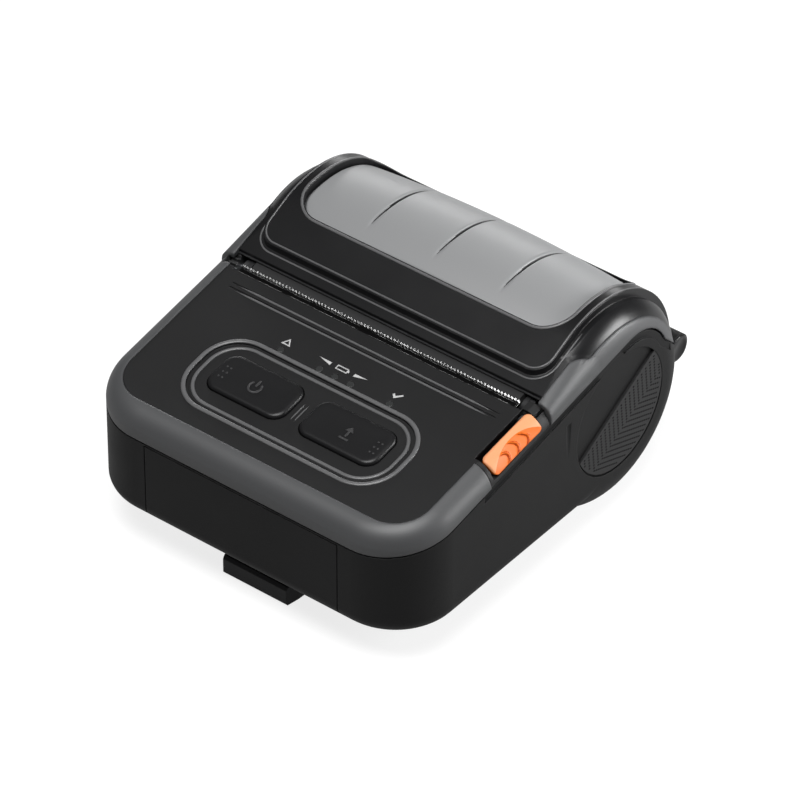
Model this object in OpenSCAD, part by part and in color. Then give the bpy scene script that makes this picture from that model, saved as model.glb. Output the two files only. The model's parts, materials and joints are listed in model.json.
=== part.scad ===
// Portable thermal printer, closed, lying on its belt clip and rear feet.
// Millimetres, +Z up, front towards -Y. Heights count from the floor.
// Lengths in Y count from the tear edge and are centred at the end by place().

/* [Body] */
// Width of the housing
body_w = 100; // [99:0.5:103]
// Front face to tear edge
nose_l = 52.8; // [52:0.2:54]
// Plan radius of the two front corners
corner_r = 17; // [16.5:0.5:18]
// Height of the flat underside above the floor
belly_z = 9.6; // [9.4:0.1:10]
// Radius of the lower edge
keel_r = 4; // [3.5:0.25:5]
// Housing wall thickness
wall = 2.2; // [2:0.1:2.4]
// Height of the tear edge
tear_z = 48.7; // [48.5:0.1:49]
// Slope of the flat top
deck_a = 10; // [9.5:0.1:10.5]
// Rounding of the top edge
deck_r = 6; // [5.5:0.1:6.1]
// Height of the colour seam at the front face
seam_z = 33.2; // [33:0.1:33.6]
// Slope of the colour seam
seam_a = 11.6; // [11.4:0.1:11.8]
// Open gap at the colour seam
seam_gap = 0.5; // [0.3:0.1:0.6]

/* [Roll bay] */
// Paper width
paper_w = 80; // [78:1:80]
// Largest paper roll
roll_d = 50; // [48:0.5:50.4]
// Free space around the roll
roll_gap = 0.8; // [0.6:0.1:1]
// Shell thickness over the roll
drum_wall = 3.9; // [3.8:0.1:4.1]
// Radius of the crown across the shell
crown_r = 500; // [450:10:600]
// Rounding of the shell's shoulders
shoulder_r = 9; // [8.8:0.1:9.2]
// Roll axis behind the tear edge
drum_y = 28.7; // [28.6:0.1:29]
// Height of the rear feet
foot_h = 1.2; // [1:0.1:1.4]

/* [Hinge] */
// Hinge axis behind the tear edge
hinge_y = 59; // [58.8:0.1:59.4]
// Hinge axis height
hinge_z = 29; // [28.8:0.1:29.2]
// Knuckle radius
barrel_r = 3.8; // [3.6:0.1:3.9]
// Half length of the hinge
barrel_x = 44.9; // [44:0.1:45]
// Half length of the middle knuckle
knuckle_x = 29.7; // [28:0.1:30]
// Hinge pin radius
hinge_pin_r = 1.25; // [1:0.05:1.4]

/* [Printing line] */
// Platen axis behind the tear edge
platen_y = 3.3; // [3.2:0.1:3.4]
// Platen axis height
platen_z = 43.6; // [43.5:0.1:43.7]
// Platen rubber radius
platen_r = 4.1; // [4:0.05:4.15]
// Platen shaft radius
shaft_r = 1.5; // [1.4:0.05:1.55]
// Gap between platen rubber and print head
head_gap = 0.3; // [0.3:0.05:0.5]
// Number of teeth along the tear edge
tear_teeth = 84; // [70:1:90]
// Half length of the tear edge
tear_x = 42; // [41:0.5:42]

/* [Controls] */
// Gap around the buttons
key_gap = 0.2; // [0.15:0.05:0.3]
// Release button travel
release_travel = 1.4; // [1:0.1:1.4]

/* [Battery and clip] */
// Half width of the battery pack
pack_x = 29; // [28:0.1:29.2]
// Height of the battery pack's top
pack_top = 32.2; // [31.8:0.1:32.2]
// Gap around the battery pack
pack_gap = 0.3; // [0.2:0.05:0.4]
// Clip pin radius
clip_pin_r = 1.1; // [1:0.05:1.2]
// Clip width at the tip
clip_tip_w = 20.6; // [18:0.2:21]

/* [Hidden] */
eps = 0.01;
fit_run = 0.05;
rest_gap = 0.3;
side_x = body_w / 2;
mid_y = (hinge_y + barrel_r - nose_l) / 2;
bay_x = paper_w / 2 + 1;
bay_r = roll_d / 2 + roll_gap;
drum_r = bay_r + drum_wall;
drum_z = foot_h + drum_r;
shoulder_x = side_x - shoulder_r;
crown_drop = shoulder_x * shoulder_x / 2 / crown_r;
disc_r = drum_r - crown_drop - shoulder_r;
corner_x = side_x - corner_r;
corner_y = -nose_l + corner_r;
tray_end = drum_y - 5;
seam_y = drum_y + 4.9;
seam_r = 14.2;
seam_cz = seam_at(seam_y) - seam_r / cos(seam_a);
split_y = 1;
split_gap = 0.4;
lip_y = 3.2;
slab_a = 22.1;
edge_r = 3.3;
edge_grow = 0.2336;
slab_l = 22;
slab_z = 48.95;
trim_x = 46;
scoop_x = 48.4;
trim_r = 26.9;
under_r = 26.5;
ridge_x = 43.4;
ridge_r = 29;
ridge_y = 6.3;
win_x = 40;
win_y0 = 16;
win_y1 = 51;
win_r = 7.5;
win_t = 1.2;
win_cy = drum_y + 0.8;
win_cz = drum_z + 0.1;
win_crown = 485;
panel_x = 45;
panel_y0 = -47.5;
panel_y1 = -2.5;
panel_t = 2.2;
key_x0 = 2.3;
key_x1 = 25.5;
key_y0 = -35.8;
key_y1 = -23.8;
key_r = 3.5;
rel_x = 46.2;
rel_y0 = -20;
rel_y1 = -2;
rel_up = 1.3;
latch_y = -2.4;
latch_z = 28;
latch_r = 1.5;
arm_x0 = bay_x + 0.2;
arm_x1 = bay_x + 1.4;
plate_x0 = 42.6;
plate_x1 = 43.6;
hook_x0 = 43.8;
hook_x1 = 44.6;
gear_x0 = 45.2;
gear_x1 = 47.2;
gear_m = 0.4;
platen_teeth = 18;
idler_teeth = 30;
motor_teeth = 12;
idler_y = -5;
idler_z = 38.8;
motor_y = -12.6;
motor_z = 35.25;
batt_y1 = -8;
clip_y = -2;
clip_z = 5.2;
rear_wall_z = 26.4;

function seam_at(y) = seam_z + (y + nose_l) * tan(seam_a);
function deck_v(y) = y / cos(deck_a);

module place() translate([0, -mid_y, 0]) children();

module on_deck() translate([0, 0, tear_z]) rotate([deck_a, 0, 0]) children();

// Side profile (y, z) drawn out along X between two values
module side_prism(x0, x1) {
    translate([x0, 0, 0]) rotate([90, 0, 90]) linear_extrude(x1 - x0) children();
}

module rod(x0, x1, y, z, r) {
    translate([x0, y, z]) rotate([0, 90, 0]) cylinder(r = r, h = x1 - x0, $fn = 48);
}

module rod_y(y0, y1, x, z, r) {
    translate([x, y1, z]) rotate([90, 0, 0]) cylinder(r = r, h = y1 - y0, $fn = 48);
}

module span(x0, x1, y0, y1, z0, z1) {
    translate([x0, y0, z0]) cube([x1 - x0, y1 - y0, z1 - z0]);
}

module rounded(x0, x1, y0, y1, r) {
    translate([x0 + r, y0]) square([x1 - x0 - 2 * r, y1 - y0]);
    translate([x0, y0 + r]) square([x1 - x0, y1 - y0 - 2 * r]);
    for (x = [x0 + r, x1 - r])
        for (y = [y0 + r, y1 - r])
            translate([x, y]) circle(r = r, $fn = 48);
}

// Sweeps a wall profile (distance out, height) round the front corners
module swept_tray(cy, y_end, cx = corner_x) {
    translate([cx, cy, 0]) rotate([0, 0, -90])
        rotate_extrude(angle = 90, $fn = 64) children();
    translate([-cx, cy, 0]) rotate([0, 0, 180])
        rotate_extrude(angle = 90, $fn = 64) children();
    translate([cx, cy, 0]) rotate([90, 0, -90])
        linear_extrude(2 * cx) children();
    translate([cx, y_end, 0]) rotate([90, 0, 0])
        linear_extrude(y_end - cy) children();
    translate([-cx, cy, 0]) rotate([90, 0, 180])
        linear_extrude(y_end - cy) children();
}

module keel_profile(inset, z1) {
    out = corner_r - inset;
    r = keel_r - inset;
    z0 = belly_z + inset;
    square_z(0, out - r, z0, z1);
    square_z(0, out, z0 + r, z1);
    intersection() {
        translate([out - r, z0 + r]) circle(r = r, $fn = 64);
        square_z(0, out + 1, z0 - 1, z0 + r + 0.5);
    }
}

module square_z(x0, x1, z0, z1) {
    translate([x0, z0]) square([x1 - x0, z1 - z0]);
}

module tray(inset, y_end, z1) {
    swept_tray(corner_y, y_end) keel_profile(inset, z1);
    span(-corner_x - eps, corner_x + eps, corner_y - eps, y_end, belly_z + inset, z1);
}

module plan(inset, y_end) {
    r = corner_r - inset;
    translate([-side_x + inset, corner_y]) square([body_w - 2 * inset, y_end - corner_y]);
    translate([-corner_x, corner_y - r]) square([2 * corner_x, r + 1]);
    for (x = [-corner_x, corner_x]) translate([x, corner_y]) circle(r = r, $fn = 96);
}

// Half section of the drum shell: radius across, length along
module drum_profile(grow) {
    intersection() {
        translate([drum_r + grow - crown_r, 0]) circle(r = crown_r, $fn = 720);
        translate([0, -shoulder_x]) square([drum_r + grow + 1, 2 * shoulder_x]);
    }
    translate([0, -side_x - grow]) square([disc_r, body_w + 2 * grow]);
    for (s = [-1, 1])
        intersection() {
            translate([disc_r, s * shoulder_x]) circle(r = shoulder_r + grow, $fn = 96);
            translate([0, -side_x - grow - 1]) square([drum_r + 5, body_w + 2 * grow + 2]);
        }
}

module on_drum() translate([0, drum_y, drum_z]) rotate([0, 90, 0]) children();

module drum(grow) on_drum() rotate_extrude($fn = 160) drum_profile(grow);

module seam_polygon(gap, z_end) {
    points = concat([[-nose_l - 9, z_end], [-nose_l - 9, seam_at(-nose_l - 9) + gap]],
        [for (a = [90 + seam_a:-7.2:22]) [seam_y + (seam_r + gap) * cos(a),
            seam_cz + (seam_r + gap) * sin(a)]],
        [[55.5, 33.4 + gap], [75, 33.4 + gap], [75, z_end]]);
    polygon(points);
}

module below_seam(gap) side_prism(-side_x - 3, side_x + 3) seam_polygon(-gap, -5);

module above_seam(gap) side_prism(-side_x - 3, side_x + 3) seam_polygon(gap, 75);

module bay(r) rod(-bay_x, bay_x, drum_y, drum_z, r);

module mirror_x() {
    children();
    mirror([1, 0, 0]) children();
}

// ---- body ----

module housing_outer() {
    intersection() {
        union() {
            tray(0, tray_end, 60);
            drum(0);
        }
        below_seam(seam_gap);
    }
}

module lower_housing() color([0.1, 0.1, 0.11]) place() {
    difference() {
        union() {
            difference() {
                housing_outer();
                difference() {
                    intersection() {
                        tray(wall, latch_y + 1.8, 60);
                        below_seam(-2);
                    }
                    span(-pack_x - 2, pack_x + 2, -60, -6, 0, pack_top + 2);
                }
                span(-pack_x - pack_gap, pack_x + pack_gap, -60, batt_y1 + pack_gap, 0,
                    pack_top + pack_gap);
                bay(bay_r);
                span(-side_x + wall, side_x - wall, latch_y + 0.9, 9.6, 38.6, 60);
                span(-side_x + wall, -gear_x0 + rest_gap, -2, 4, 32, 40);
                mirror_x() span(plate_x0 - 0.3, side_x - wall, -2, 1.4, 24, 40);
            }
            rod(-barrel_x, barrel_x, hinge_y, hinge_z, barrel_r);
            span(-barrel_x, barrel_x, drum_y + bay_r - 3, hinge_y, 25.5, 32.4);
        }
        bay(bay_r);
        rod(-knuckle_x - 0.2, knuckle_x + 0.2, hinge_y, hinge_z, barrel_r + rest_gap);
        span(-knuckle_x - 0.2, knuckle_x + 0.2, 50, 70, rear_wall_z, 60);
        rod(-60, 60, hinge_y, hinge_z, hinge_pin_r + fit_run);
        mirror_x() rod(side_x - 0.8, side_x + 1, drum_y, drum_z, 16.9);
        mirror_x() span(22.9, 33.1, drum_y - 5.1, drum_y + 5.1, -1, 3.4);
        for (x = [-36, 36], y = [-30, 0]) {
            translate([x, y, belly_z - 1]) cylinder(r = 2.4, h = 2.4, $fn = 32);
        }
        span(7.9, 14.1, -0.1, 2.7, 34.9, 60);
        span(-60, -45, -40.2, -21.8, 18.8, 30.6);
        mirror_x() {
            intersection() {
                span(side_x - 0.5, side_x + 2, -24, 49, 30, 60);
                above_seam(-2.4);
            }
            translate([side_x + 1.1, 8.3, 40]) rotate([0, 177.8, 0]) cylinder(r = 1.5, h = 30, $fn = 48);
        }
    }
}

module upper_tray() {
    over = 0.1;
    out = corner_r + over + 0.4;
    v0 = -(nose_l + over + deck_r * sin(deck_a)) / cos(deck_a) + out;
    r = deck_r;
    swept_tray(v0, 4, corner_x - 0.4) {
        polygon([[0, -30], [out + 4, -30], [out, -r], [out - r, 0], [0, 0]]);
        intersection() {
            translate([out - r, -r]) circle(r = r, $fn = 96);
            translate([out - r - 1, -r]) square([r + 3, r + 1]);
        }
    }
    span(-corner_x + 0.3, corner_x - 0.3, v0 - eps, 4, -30, 0);
}

module frame_outer() {
    intersection() {
        translate([0, 0, 20]) linear_extrude(40) plan(0, split_y);
        on_deck() upper_tray();
        above_seam(0);
    }
}

module release_zone(gap) {
    intersection() {
        span(rel_x - gap, 60, rel_y0 - gap, rel_y1 + gap, 30, 60);
        above_seam(rel_up - gap);
    }
}

module upper_frame() color([0.36, 0.37, 0.38]) place() {
    difference() {
        frame_outer();
        intersection() {
            translate([0, 0, 10]) linear_extrude(60) plan(wall, split_y + 1);
            on_deck() span(-60, 60, -70, 10, -40, -wall);
        }
        on_deck() translate([0, 0, -9]) linear_extrude(18)
            rounded(-panel_x, panel_x, deck_v(panel_y0), 20, 9.5);
        span(panel_x - 2, 60, rel_y0 - 1.4, split_y + 1, 30, 60);
        span(-side_x + wall, -panel_x + 0.1, -1.3, 2, 38, 60);
    }
    frame_tongue();
}

// Inner rim that closes the seam gap
module frame_tongue() {
    difference() {
        translate([0, 0, 20]) linear_extrude(40) difference() {
            plan(1, split_y);
            plan(wall, split_y + 1);
        }
        above_seam(1);
        below_seam(seam_gap);
        span(panel_x - 2, 60, rel_y0 - 1.4, split_y + 1, 30, 60);
    }
}

module control_panel() color([0.05, 0.05, 0.055]) place() {
    difference() {
        union() {
            on_deck() translate([0, 0, -panel_t]) linear_extrude(panel_t - 0.15)
                rounded_open(panel_x - 0.1, deck_v(panel_y0) + 0.1, deck_v(panel_y1), 9.4);
            on_deck() translate([0, 0, -wall - 1.1]) linear_extrude(1.05)
                rounded_open(panel_x + 1.3, deck_v(panel_y0) - 1.2, deck_v(panel_y1), 10.6);
            intersection() {
                frame_outer();
                on_deck() span(plate_x1 + 0.2, side_x - 0.25, -60, 10, -40, -0.15);
                span(panel_x - 2, 60, rel_y0 - 1.25, split_y, 30, 60);
            }
        }
        release_pocket();
        on_deck() {
            ring_groove();
            for (s = [-1, 1]) scale([s, 1, 1]) {
                translate([0, 0, -5]) linear_extrude(10) key_outline(key_gap);
                translate([0, 0, -5]) linear_extrude(5 - panel_t) key_outline(1.2);
            }
            for (p = lens_points()) translate([p[0], deck_v(p[1]), -5])
                cylinder(r = 0.95, h = 8, $fn = 24);
            for (v = [-7.8, -6.4]) translate([-40.3, deck_v(v), -0.45]) cube([80.6, 0.5, 1]);
            for (x = [-15, 15]) translate([x - 5, deck_v(-39.9), -0.3]) cube([10, 0.12, 1]);
        }
        on_deck() span(-panel_x + 0.05, -43.7, -6.4, 0, -4, -0.7);
        on_deck() span(-panel_x - 2, -panel_x + 0.1, deck_v(-14), 0, -9, -panel_t - 0.02);
        on_deck() span(plate_x0 + 0.2, side_x - wall, -6.4, 3, -12, -0.9);
    }
}

module rounded_open(x, v0, v1, r) {
    translate([-x, v0 + r]) square([2 * x, v1 - v0 - r]);
    translate([-x + r, v0]) square([2 * (x - r), r + 1]);
    for (s = [-1, 1]) translate([s * (x - r), v0 + r]) circle(r = r, $fn = 64);
}

function lens_points() = [[-16.5, -17.2], [-4.7, -17.2], [0, -17.2], [4.7, -17.2], [16.5, -17.2]];

module key_outline(grow) {
    rounded(key_x0 - grow, key_x1 + grow, deck_v(key_y0) - grow, deck_v(key_y1) + grow,
        key_r + grow);
}

module ring_groove() {
    translate([0, 0, -0.65]) linear_extrude(2) difference() {
        rounded(-30.8, 30.8, deck_v(-42.3), deck_v(-19.3), 9.6);
        rounded(-29.5, 29.5, deck_v(-41), deck_v(-20.6), 8.3);
    }
    translate([0, 0, -0.45]) linear_extrude(2)
        rounded(-29.7, 29.7, deck_v(-41.2), deck_v(-20.4), 8.5);
}

module release_pocket() {
    union() {
        release_zone(key_gap);
        span(rel_x - release_travel - 0.8, rel_x, rel_y0 - key_gap, rel_y1 + key_gap, 36, 60);
        span(rel_x - release_travel - 0.8, side_x - wall - 0.3, -14.4, -4.6, 36, 43.8);
    }
}

module release_button() color([0.95, 0.42, 0.08]) place() {
    difference() {
        union() {
            intersection() {
                translate([0, 0, 0.25]) frame_outer();
                release_zone(0);
            }
            span(rel_x - 0.5, side_x - 3, -13, -5, 39.5, 43.5);
            intersection() {
                span(43, 47.5, -14, -12, 36.4, 41);
                side_wedge();
            }
        }
        for (y = [-15, -11, -7]) translate([side_x - 1.2, y, 46.8]) rotate([0, 40, 0])
            rotate([0, 0, 25]) cube([12, 0.7, 0.9], center = true);
    }
}

module side_wedge() {
    translate([0, -10, 0]) rotate([90, 0, 0]) linear_extrude(10)
        polygon([[40, 45], [40, 44.32], [48, 35.52], [48, 45]]);
}

module tear_bar() color([0.2, 0.2, 0.21]) place() {
    pitch = 2 * tear_x / tear_teeth;
    top = tear_z - 0.7;
    points = concat([[-tear_x, 47], [-tear_x, top]],
        [for (i = [0:tear_teeth - 1]) for (k = [0, 1])
            [-tear_x + (i + (k == 0 ? 0.5 : 1)) * pitch, k == 0 ? tear_z : top]],
        [[tear_x, 47]]);
    translate([0, -0.1, 0]) rotate([90, 0, 0]) linear_extrude(0.6) polygon(points);
    side_prism(-tear_x, tear_x) polygon([[-2.1, 47], [-0.6, 47], [-0.6, top - 0.2], [-2.1, 47.8]]);
}

module print_head() color([0.85, 0.84, 0.8]) place()
    span(-tear_x + 1, tear_x - 1, platen_y - platen_r - head_gap - 0.6,
        platen_y - platen_r - head_gap, 39, 46.8);

module heatsink() color([0.7, 0.71, 0.73]) place() difference() {
    span(-tear_x + 0.6, tear_x - 0.6, -6, platen_y - platen_r - head_gap - 0.6, 34.5, 44.2);
    for (x = [-36:6:36]) span(x - 1.6, x + 1.6, -7, -3, 36, 43);
}

module mech_frame() color([0.62, 0.63, 0.65]) place() {
    mirror_x() side_prism(plate_x0, plate_x1) difference() {
        polygon([[-9, 24], [-2, 24], [-1.3, 38.9], [9.2, 38.9], [9.2, 43], [6.6, 43.6],
            [0, 43.6], [-0.2, 44.6], [-1.8, 44.6], [-9, 43.3]]);
        translate([platen_y, platen_z]) circle(r = 3.3, $fn = 48);
        translate([latch_y, latch_z]) circle(r = latch_r + fit_run, $fn = 32);
        translate([idler_y, idler_z]) circle(r = 1 + fit_run, $fn = 32);
    }
    span(-plate_x0 - 0.5, plate_x0 + 0.5, -9, -7.2, 41.9, 43.2);
}

module drive_motor() color([0.55, 0.56, 0.58]) place() {
    rod(-plate_x0 + 0.05, -31.6, motor_y, motor_z, 6.4);
    rod(-gear_x1 + 0.2, -plate_x0 + 0.05, motor_y, motor_z, 0.75);
}

module gear(teeth, thick, bore) {
    r0 = gear_m * teeth / 2;
    tip = r0 + gear_m * 0.85;
    root = r0 - gear_m * 1.15;
    points = [for (i = [0:teeth - 1]) for (k = [0:3])
        let(a = (i + [-0.36, -0.12, 0.12, 0.36][k]) * 360 / teeth, r = (k == 0 || k == 3) ? root : tip)
            [r * cos(a), r * sin(a)]];
    linear_extrude(thick) difference() {
        polygon(points);
        circle(r = bore, $fn = 32);
    }
}

module on_left(y, z, turn) translate([-gear_x1, y, z]) rotate([0, 90, 0]) rotate([0, 0, turn]) children();

module platen_gear() color([0.88, 0.87, 0.82]) place()
    on_left(platen_y, platen_z, 0) gear(platen_teeth, gear_x1 - gear_x0, shaft_r);

module idler_gear() color([0.88, 0.87, 0.82]) place() {
    on_left(idler_y, idler_z, 6) gear(idler_teeth, gear_x1 - gear_x0, 1);
    rod(-gear_x1 + 0.2, -plate_x0 + 0.6, idler_y, idler_z, 1);
}

module motor_gear() color([0.75, 0.6, 0.25]) place()
    on_left(motor_y, motor_z, 12.64) gear(motor_teeth, gear_x1 - gear_x0, 0.8);

module status_lenses() color([0.6, 0.75, 0.65]) place() on_deck()
    for (p = lens_points()) translate([p[0], deck_v(p[1]), -3.6])
        cylinder(r = 0.9, h = 3.4, $fn = 24);

module key_board() color([0.1, 0.35, 0.2]) place() on_deck() {
    span(-30.5, 30.5, deck_v(-38), deck_v(-15), -5.6, -4.6);
    for (x = [-14, 14]) translate([x, deck_v(-29.8), -4.6]) cylinder(r = 2.6, h = 0.7, $fn = 32);
    for (p = lens_points()) translate([p[0] - 0.8, deck_v(p[1]) - 0.8, -4.6]) cube([1.6, 1.6, 0.7]);
}

module main_board() color([0.1, 0.35, 0.2]) place() {
    span(-28, 40, -44, -10, pack_top + 2, pack_top + 3.4);
    span(-20, -8, -24, -14, pack_top + 3.4, pack_top + 4.4);
    span(4, 20, -22, -12, pack_top + 3.4, pack_top + 4.6);
}

module battery_pack() color([0.07, 0.07, 0.075]) place() difference() {
    intersection() {
        tray(0, tray_end, 60);
        span(-pack_x, pack_x, -60, batt_y1, 0, pack_top);
    }
    for (x = [-9, -3, 3, 9]) span(x - 1.2, x + 1.2, batt_y1 - 1.2, batt_y1 + 1, 18, 26);
}

module battery_contacts() color([0.85, 0.7, 0.35]) place()
    for (x = [-9, -3, 3, 9]) span(x - 0.7, x + 0.7, batt_y1 - 0.8, batt_y1 + pack_gap, 19, 25);

module port_sockets() color([0.7, 0.71, 0.73]) place() {
    difference() {
        span(-47.4, -40, -37.5, -29.5, 21.5, 25.5);
        span(-48, -43, -36.9, -30.1, 22.1, 24.9);
    }
    difference() {
        rod(-47.4, -40, -25.5, 24, 2.8);
        rod(-48, -43, -25.5, 24, 2.1);
    }
    span(-41, -38.5, -39, -22.4, 16, 28);
}

module port_cover() color([0.06, 0.06, 0.065]) place() {
    difference() {
        union() {
            span(-side_x, -side_x + 1.4, -40, -22, 19.7, 30.4);
            rod_y(-40, -22, -side_x + 0.7, 19.9, 0.7);
        }
        span(-side_x - 1, -side_x + 0.4, -36, -26, 28.4, 29.4);
    }
}

module power_button() color([0.06, 0.06, 0.065]) place() scale([-1, 1, 1]) key_cap();

module feed_button() color([0.06, 0.06, 0.065]) place() key_cap();

module key_cap() on_deck() {
    translate([0, 0, -panel_t - 0.8]) linear_extrude(panel_t + 1.3) key_outline(0);
    translate([0, 0, -panel_t - 0.8]) linear_extrude(0.6) key_outline(0.8);
}

module latch_shaft() color([0.5, 0.51, 0.53]) place() {
    rod(-gear_x0 + 0.4, 46.4, latch_y, latch_z, latch_r);
    mirror_x() side_prism(hook_x0, hook_x1) {
        polygon([[-4.2, 27], [-0.9, 27], [0.3, 42], [0.9, 44.9], [1.6, 45.2], [1.5, 46.2],
            [-0.4, 46.6], [-1.2, 45], [-1.9, 40], [-2.1, 36]]);
        translate([latch_y, latch_z]) circle(r = 2.6, $fn = 48);
    }
    side_prism(45, 46.2) polygon([[-2.4, 26.4], [-13.6, 35.4], [-13.6, 37.3], [-12.4, 37.3], [-1.4, 29.6]]);
}

module hinge_pin() color([0.7, 0.71, 0.73]) place()
    rod(-barrel_x + 0.4, barrel_x - 0.4, hinge_y, hinge_z, hinge_pin_r);

module side_grips() color([0.03, 0.03, 0.03]) place() mirror_x() intersection() {
    rod(side_x - 0.8, side_x - 0.2, drum_y, drum_z, 16.8);
    side_prism(40, 60) polygon([[0, 18], [60, 51.3], [60, 0], [0, 0]]);
}

module feet() color([0.12, 0.12, 0.12]) place() mirror_x()
    span(23, 33, drum_y - 5, drum_y + 5, 0, 3.4);

module housing_screws() color([0.5, 0.5, 0.52]) place()
    for (x = [-36, 36], y = [-30, 0]) translate([x, y, belly_z + 0.3]) difference() {
        cylinder(r = 2.2, h = 1.1, $fn = 32);
        translate([0, 0, -1]) cylinder(r = 0.9, h = 1.6, $fn = 6);
    }

module paper_sensor() color([0.05, 0.05, 0.05]) place() span(8, 14, 0, 2.6, 35, 38.9);

// ---- cover ----

// Side profile of a sloping slab whose top touches the circle of radius r
module slab_profile(y0, z0, r) {
    d = [y0 - drum_y, z0 - drum_z];
    a = atan2(d[1], d[0]) - acos(r / norm(d)) + 1.2;
    t = [drum_y + r * cos(a), drum_z + r * sin(a)];
    polygon([[y0, 20], [y0, z0], t, [drum_y, drum_z], [drum_y, 20]]);
}

module cover_shell(inset) {
    drum(-inset);
    intersection() {
        cover_slab(inset);
        span(-60, 60, -10, split_y + split_gap + slab_l * cos(slab_a), 25, 90);
    }
}

module cover_outer() {
    intersection() {
        cover_shell(0);
        above_seam(0);
        span(-60, 60, split_y + split_gap, 90, 0, 90);
    }
}

// Sloping front of the cover, whose side rounding grows towards the rear
module cover_slab(inset) {
    lead = 4;
    far = slab_l + 3;
    r0 = edge_r - edge_grow * lead;
    r1 = edge_r + edge_grow * far;
    x0 = side_x - r0;
    x1 = side_x - r1;
    translate([0, split_y + split_gap, slab_z]) rotate([slab_a, 0, 0]) {
        translate([0, 0, -25]) linear_extrude(25 - inset)
            polygon([[-x0, -lead], [x0, -lead], [x1, far], [-x1, far]]);
        side_prism(-side_x + inset, side_x - inset)
            polygon([[-lead, -25], [-lead, -r0], [far, -r1], [far, -25]]);
        for (s = [-1, 1]) translate([s * (side_x - 0.03), 0, -0.03]) edge_cone(s, lead, far, inset);
    }
}

module edge_cone(s, lead, far, inset) {
    m = edge_grow;
    n = norm([m, 1, m]);
    slope = asin(m / n);
    t0 = edge_r / m - lead;
    t1 = edge_r / m + far;
    translate([0, -edge_r / m, 0]) rotate([0, acos(-m / n), atan2(1, -s * m)])
        translate([0, 0, t0 * n]) cylinder(h = (t1 - t0) * n, r1 = t0 * n * tan(slope) - inset / cos(slope),
            r2 = t1 * n * tan(slope) - inset / cos(slope), $fn = 96);
}

module trim_under() {
    intersection() {
        union() {
            rod(-side_x, side_x, drum_y, drum_z, under_r);
            side_prism(-side_x, side_x) slab_profile(split_y - 1, slab_z - 1.7, under_r);
        }
        cover_shell(1);
    }
}

// Outline of the black trim from above, wider at the finger scoops
module trim_plan(inset) {
    x0 = trim_x - inset;
    x1 = scoop_x - inset;
    side = [[x0, -5], [x0, 13.4], [x0 + 0.5, 14.8], [x1 - 0.9, 16.6], [x1 - 0.2, 17.8], [x1, 19.2], [x1, 80]];
    translate([0, 0, 25]) linear_extrude(60)
        polygon(concat(side, [for (i = [len(side) - 1:-1:0]) [-side[i][0], side[i][1]]]));
}

module window_plan(inset) {
    translate([0, 0, 30]) linear_extrude(60)
        rounded(-win_x + inset, win_x - inset, win_y0 + inset, win_y1 - inset, win_r - inset);
}

module paper_cover() color([0.36, 0.37, 0.38]) place() {
    difference() {
        union() {
            difference() {
                cover_outer();
                difference() {
                    trim_plan(0);
                    trim_under();
                }
                bay(bay_r);
                on_drum() rotate_extrude($fn = 120) {
                    translate([0, -side_x + wall]) square([disc_r, body_w - 2 * wall]);
                    for (s = [-1, 1]) intersection() {
                        translate([disc_r, s * shoulder_x]) circle(r = shoulder_r - wall, $fn = 64);
                        translate([0, -side_x]) square([60, body_w]);
                    }
                }
                side_prism(-side_x + wall, side_x - wall)
                    slab_profile(split_y - 1, slab_z - 3.6, under_r - 1.4);
                span(-trim_x, trim_x, -1, lip_y, 20, 60);
                rod(-side_x + wall, side_x - wall, platen_y, platen_z, 4.4);
                span(-side_x + wall, side_x - wall, 0, 8, 30, 47);
                window_plan(1.6);
            }
            side_prism(-knuckle_x, knuckle_x) polygon([[drum_y + bay_r - 1, hinge_z], [hinge_y + 3.2, hinge_z],
                [hinge_y + 2.6, 31.8], [57.4, 37], [drum_y + bay_r - 1, 37]]);
            rod(-knuckle_x, knuckle_x, hinge_y, hinge_z, barrel_r);
        }
        mirror_x() rod(knuckle_x + 0, 60, hinge_y, hinge_z, barrel_r + rest_gap);
        rod(-60, 60, hinge_y, hinge_z, hinge_pin_r + 2 * fit_run);
        bay(bay_r);
    }
}

module cover_trim() color([0.03, 0.03, 0.035]) place() difference() {
    intersection() {
        union() {
            intersection() {
                union() {
                    rod(-side_x, side_x, drum_y, drum_z, trim_r);
                    side_prism(-side_x, side_x) slab_profile(split_y, slab_z - 0.1, trim_r);
                }
                cover_shell(0.15);
                trim_plan(0.1);
            }
            ridge();
        }
        span(-60, 60, lip_y, 90, 30, 90);
        above_seam(0.1);
    }
    trim_under();
    window_plan(0);
    rod(-60, 60, hinge_y, hinge_z, barrel_r + 1);
    span(-knuckle_x - 0.1, knuckle_x + 0.1, 50, 70, 30, 37.1);
}

module ridge() {
    intersection() {
        union() {
            rod(-ridge_x, ridge_x, drum_y, drum_z, ridge_r);
            side_prism(-ridge_x, ridge_x) slab_profile(ridge_y, 52.4, ridge_r);
        }
        translate([0, 0, 20]) linear_extrude(60) rounded(-ridge_x, ridge_x, ridge_y, 70, 5);
    }
}

module window_solid(drop) {
    translate([0, win_cy, win_cz]) rotate([0, 90, 0]) rotate_extrude($fn = 160) intersection() {
        translate([drum_r - 0.2 - drop - win_crown, 0]) circle(r = win_crown, $fn = 720);
        translate([0, -win_x]) square([40, 2 * win_x]);
    }
}

module window() color([0.55, 0.56, 0.58]) place() difference() {
    intersection() {
        window_solid(0);
        window_plan(0.3);
    }
    window_solid(win_t);
    intersection() {
        for (x = [-20, 0, 20]) translate([0, win_cy, win_cz]) rotate([0, 90, 0]) rotate_extrude($fn = 96)
            translate([drum_r - 0.2 - x * x / 2 / win_crown - 0.35, x - 0.3]) square([3, 0.6]);
        span(-60, 60, 23, 90, 30, 90);
    }
}

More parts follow.
